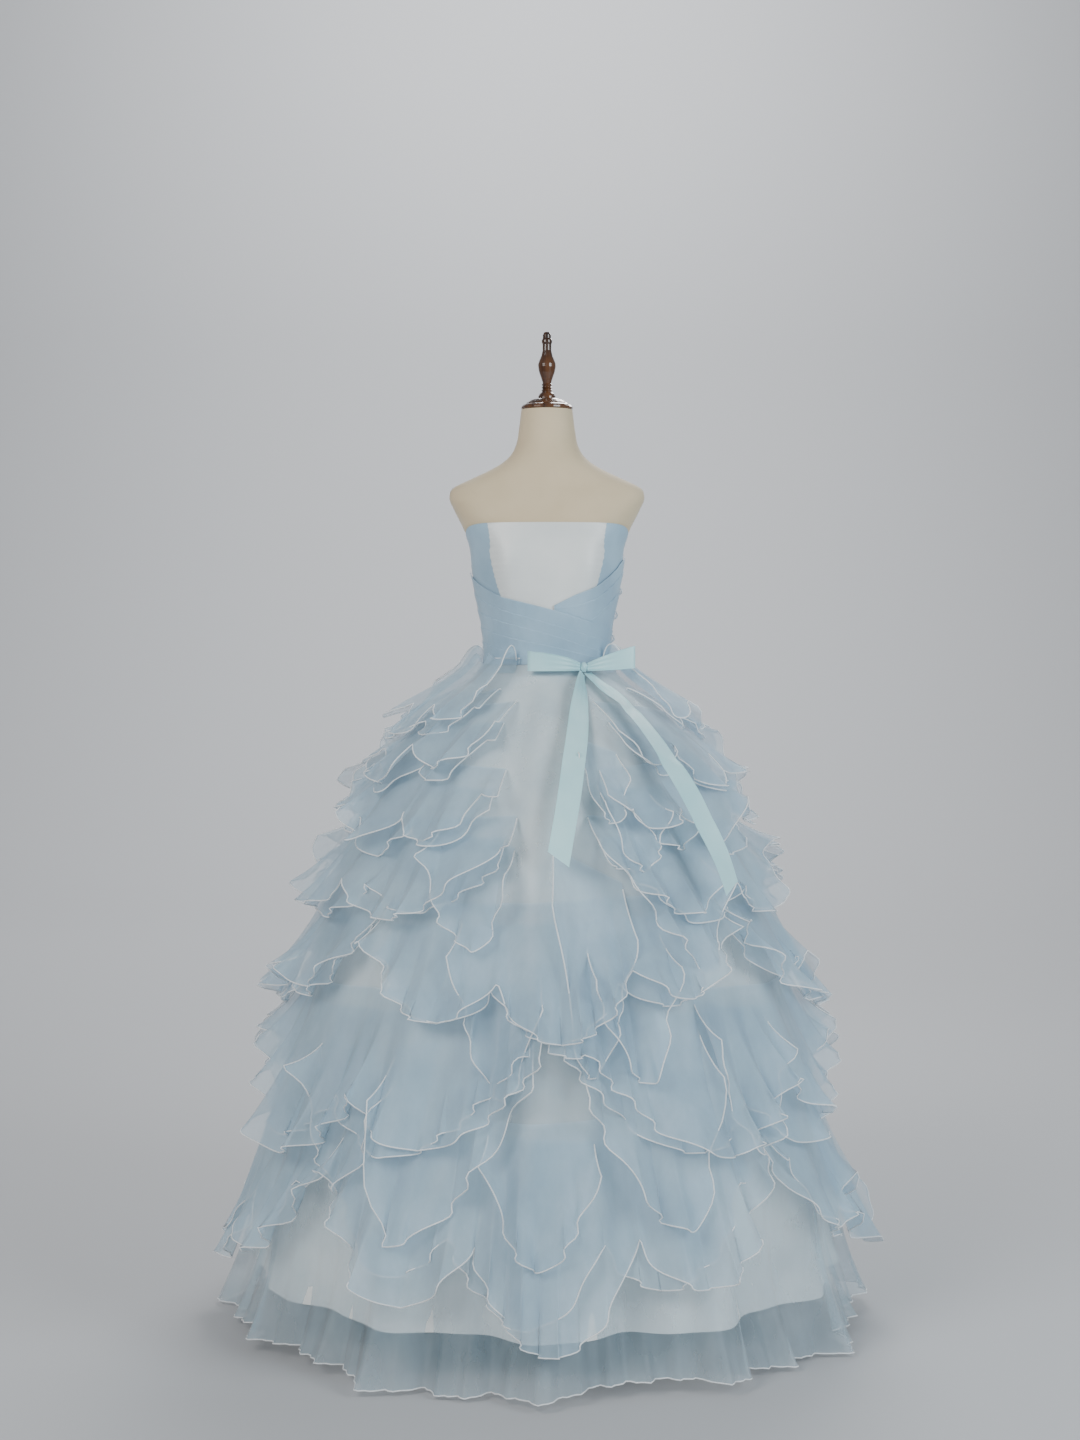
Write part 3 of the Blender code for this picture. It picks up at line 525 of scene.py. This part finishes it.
def flounce_grid(first, last, seam, drop, reach, rise, leaves, phase, tip=None):
    """A gathered strip of organza: sewn along its seam, fluted and flared towards its leaf-shaped hem."""
    across = (last - first) * COLUMN
    radius = float(np.interp(-np.mean(seam), -SKIRT[::-1, 0], SKIRT[::-1, 1]))
    flutes = max(3, round(across * (radius + reach) / FLUTE_PITCH))
    u, v = axes(0, 1, 16 * flutes, 26)
    swell = 2 * pi * flutes * (u + 0.035 * np.sin(2 * pi * 2.3 * u + phase))
    strength = 0.75 + 0.25 * np.sin(7.1 * u + 2.2 * phase)
    if tip is None:
        ends = np.sin(pi * (0.07 + 0.86 * u)) ** 0.55
        leaf = 1 - 0.42 * (1 - np.abs(np.sin(leaves * pi * u + 0.5 * sin(phase))) ** 0.8)
    else:
        ends = np.where(u < tip, u / tip, (1 - u) / (1 - tip))
        leaf = 0.28 + 0.72 * np.sin(ends * pi / 2) ** 1.1
        ends = 1
    length = drop * ends * leaf
    fold = (0.5 + 0.5 * np.cos(swell)) * strength
    out = reach * (0.40 * v**1.5 + 0.54 * v**1.8 * fold)
    out += 0.0035 * np.clip(v - 0.8, 0, 1) / 0.2 * np.sin(3.1 * swell + phase)
    height = seam[0] + (seam[1] - seam[0]) * u - length * v + 4 * rise * v * (1 - v) + 0.22 * out * v
    sideways = -0.55 * v**2 * np.sin(2 * swell) * across / (2 * pi * flutes)
    angle = (first * COLUMN + across * u) + sideways
    return skirt_surface(angle, np.clip(height, LOWEST, None), SEAM_LIFT + out)


def add_flounce(name, grid, nodes=()):
    border = np.concatenate([grid[0, 3:], grid[1:-1, -1], grid[-1, 3:][::-1]])
    edge = edge_cord(name + "_edge", border)
    gathered(name + "_cloth", grid, nodes)


def flounces():
    """Each strip of each row, and the shorter under layer sewn below its seam."""
    for index, (label, seam, drop, reach, rise, leaves, spans) in enumerate(FLOUNCE_ROWS):
        for number, (first, last) in enumerate(spans):
            name = f"flounce_{label}{number + 1}"
            phase = index + 2 * number
            slant = SEAM_SLANT * (-1) ** (phase + number) if index else 0
            ends = (seam - slant, seam + slant)
            outer_drop = drop * (1 + 0.07 * sin(2.3 * phase))
            outer = (outer_drop, reach, rise, leaves, phase)
            add_flounce(name, flounce_grid(first + 0.1, last - 0.1, ends, *outer), [name])
            low = (seam - UNDER_DROP - slant, seam - UNDER_DROP + slant)
            under = (drop * 0.85, reach * 0.62, rise * 0.3, leaves, phase + 1.7)
            add_flounce(name + "_under", flounce_grid(first + 0.5, last - 0.5, low, *under))


def front_leaves():
    for k, (first, last, high, low, drop, tip, reach) in enumerate(FRONT_LEAVES):
        grid = flounce_grid(first, last, (high, low), drop, reach, 0.0, 1, 1.3 * k, tip)
        add_flounce(f"front_leaf_{k + 1}", grid)


# ---------------------------------------------------------------- bow
def smooth_path(rows, count):
    """Rows of numbers read from a smooth curve through them."""
    rows = np.array(rows)
    at = np.arange(len(rows), dtype=float)
    return np.stack(smooth_columns(np.c_[at, rows], np.linspace(0, len(rows) - 1, count)), axis=-1)


def ribbon(name, grid):
    """A length of ribbon with a selvedge along each side."""
    sides = (1, grid[:, 0]), (2, grid[:, -1])
    edges = [edge_cord(f"{name}_selvedge_{k}", side, RIBBON, SELVEDGE_RADIUS) for k, side in sides]
    sheet_object(name + "_ribbon", grid, RIBBON, [name])


def loop(name, rows):
    path = smooth_path(rows, 80)
    share = np.linspace(-1, 1, 13)
    grid = np.repeat(path[:, None, :3], 13, axis=1)
    grid[..., 2] += path[:, 3:4] * share
    pinch = np.clip(1 - np.minimum(np.arange(80), np.arange(79, -1, -1)) / 22, 0, 1)[:, None]
    grid[..., 1] -= 0.0015 * pinch * np.cos(3 * pi * share)
    ribbon(name, grid)


def tail(name, rows, slant):
    path = smooth_path(rows, 70)
    angle = np.arcsin(path[:, 0] / (np.interp(path[:, 1], SKIRT[:, 0], SKIRT[:, 1]) + path[:, 2]))
    centres = skirt_surface(angle, path[:, 1], path[:, 2])
    along = np.gradient(centres, axis=0)
    across = np.cross(along, centres * (1, 1, 0))
    across /= np.linalg.norm(across, axis=1, keepdims=True)
    share = np.linspace(-1, 1, 11)
    grid = centres[:, None] + across[:, None] * path[:, 3][:, None, None] * share[:, None]
    fade = np.linspace(0, 1, 70)[:, None, None] ** 8
    grid = grid + along[-1] / np.linalg.norm(along[-1]) * slant * fade * share[:, None]
    outward = centres * (1, 1, 0)
    outward /= np.linalg.norm(outward, axis=1, keepdims=True)
    gather = np.exp(-np.arange(70) / 14)[:, None]
    roll = 0.0016 * gather * np.cos(3 * pi * share) + 0.002 * np.sin(np.arange(70) / 9)[:, None] * share
    grid += outward[:, None] * roll[..., None]
    ribbon(name, grid)


def knot():
    low, high = (np.array(corner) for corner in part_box("bow_knot"))
    angle, share = axes(0, 2 * pi * (1 - 1 / 48), 48, 24)
    rise = -cos(0.25) + 2 * cos(0.25) * share
    girth = np.sqrt(1 - rise**2) * (1 + 0.10 * np.cos(5 * angle + 3 * rise))
    unit = np.stack([0.5 * girth * np.sin(angle), -0.5 * girth * np.cos(angle), 0.5 * rise], axis=-1)
    knot_object = grid_object("bow_knot_folds", (low + high) / 2 + unit * (high - low), RIBBON, closed=True)
    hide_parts("bow_knot")


def bow():
    knot()
    loop("bow_loop_left", LEFT_LOOP[::-1])
    loop("bow_loop_right", RIGHT_LOOP)
    tail("bow_tail_left", LEFT_TAIL, -TAIL_SLANT)
    tail("bow_tail_right", RIGHT_TAIL, TAIL_SLANT)


# ---------------------------------------------------------------- studio
def studio():
    floor, _ = material("studio_floor", (0.50, 0.51, 0.53), 0.9)
    front, depth, rise, half, bend = -9.0, 9.0, 7.0, 9.0, 3.0
    turns = np.linspace(0, pi / 2, 24)
    curve = [(front, 0.0)] + [(depth - bend + bend * sin(a), bend - bend * cos(a)) for a in turns]
    curve.append((depth, rise))
    points = [(x, y, z) for x in (-half, half) for y, z in curve]
    count = len(curve)
    faces = [(k, k + 1, count + k + 1, count + k) for k in range(count - 1)]
    mesh = bpy.data.meshes.new("studio_sweep")
    mesh.from_pydata(points, [], faces)
    mesh.shade_smooth()
    mesh.materials.append(floor)
    sweep = bpy.data.objects.new("studio_sweep", mesh)
    bpy.context.scene.collection.objects.link(sweep)


def area_light(name, place, aim, size, power, colour):
    light = bpy.data.lights.new(name, "AREA")
    light.shape = "DISK"
    light.size = size
    light.energy = power
    light.color = colour
    obj = bpy.data.objects.new(name, light)
    bpy.context.scene.collection.objects.link(obj)
    obj.location = place
    obj.rotation_euler = (Vector(aim) - Vector(place)).to_track_quat("-Z", "Y").to_euler()


def light_and_camera():
    area_light("soft_key", (-2.6, -3.6, 3.2), (0, 0, 0.9), 2.4, 150, (1.0, 0.98, 0.95))
    area_light("soft_right", (3.0, -2.6, 2.2), (0, 0, 0.9), 2.2, 110, (0.88, 0.96, 1.0))
    area_light("soft_back", (0.6, 2.4, 3.4), (0, 0, 1.0), 1.8, 70, (1, 1, 1))
    area_light("soft_backdrop", (0, 5.0, 6.0), (0, 9.0, 1.0), 3.0, 420, (1, 1, 1))
    world = bpy.data.worlds.new("studio_air")
    bpy.context.scene.world = world
    world.use_nodes = True
    world.node_tree.nodes["Background"].inputs["Color"].default_value = (0.62, 0.66, 0.70, 1)
    world.node_tree.nodes["Background"].inputs["Strength"].default_value = 0.35
    camera = bpy.data.objects.new("photo_camera", bpy.data.cameras.new("photo_camera"))
    bpy.context.scene.collection.objects.link(camera)
    camera.location = (-0.013, -4.24, 1.256)
    camera.rotation_euler = (radians(88), 0, 0)
    camera.data.lens = 56.3
    bpy.context.scene.camera = camera
    bpy.context.scene.cycles.transparent_max_bounces = 32


form()
keep(["neck_cap", "finial"], WOOD)
keep(["stand_base", "stand_pole", "stand_collar"], STEEL)
bodice()
wraps()
frills()
skirts()
flounces()
front_leaves()
bow()
studio()
light_and_camera()
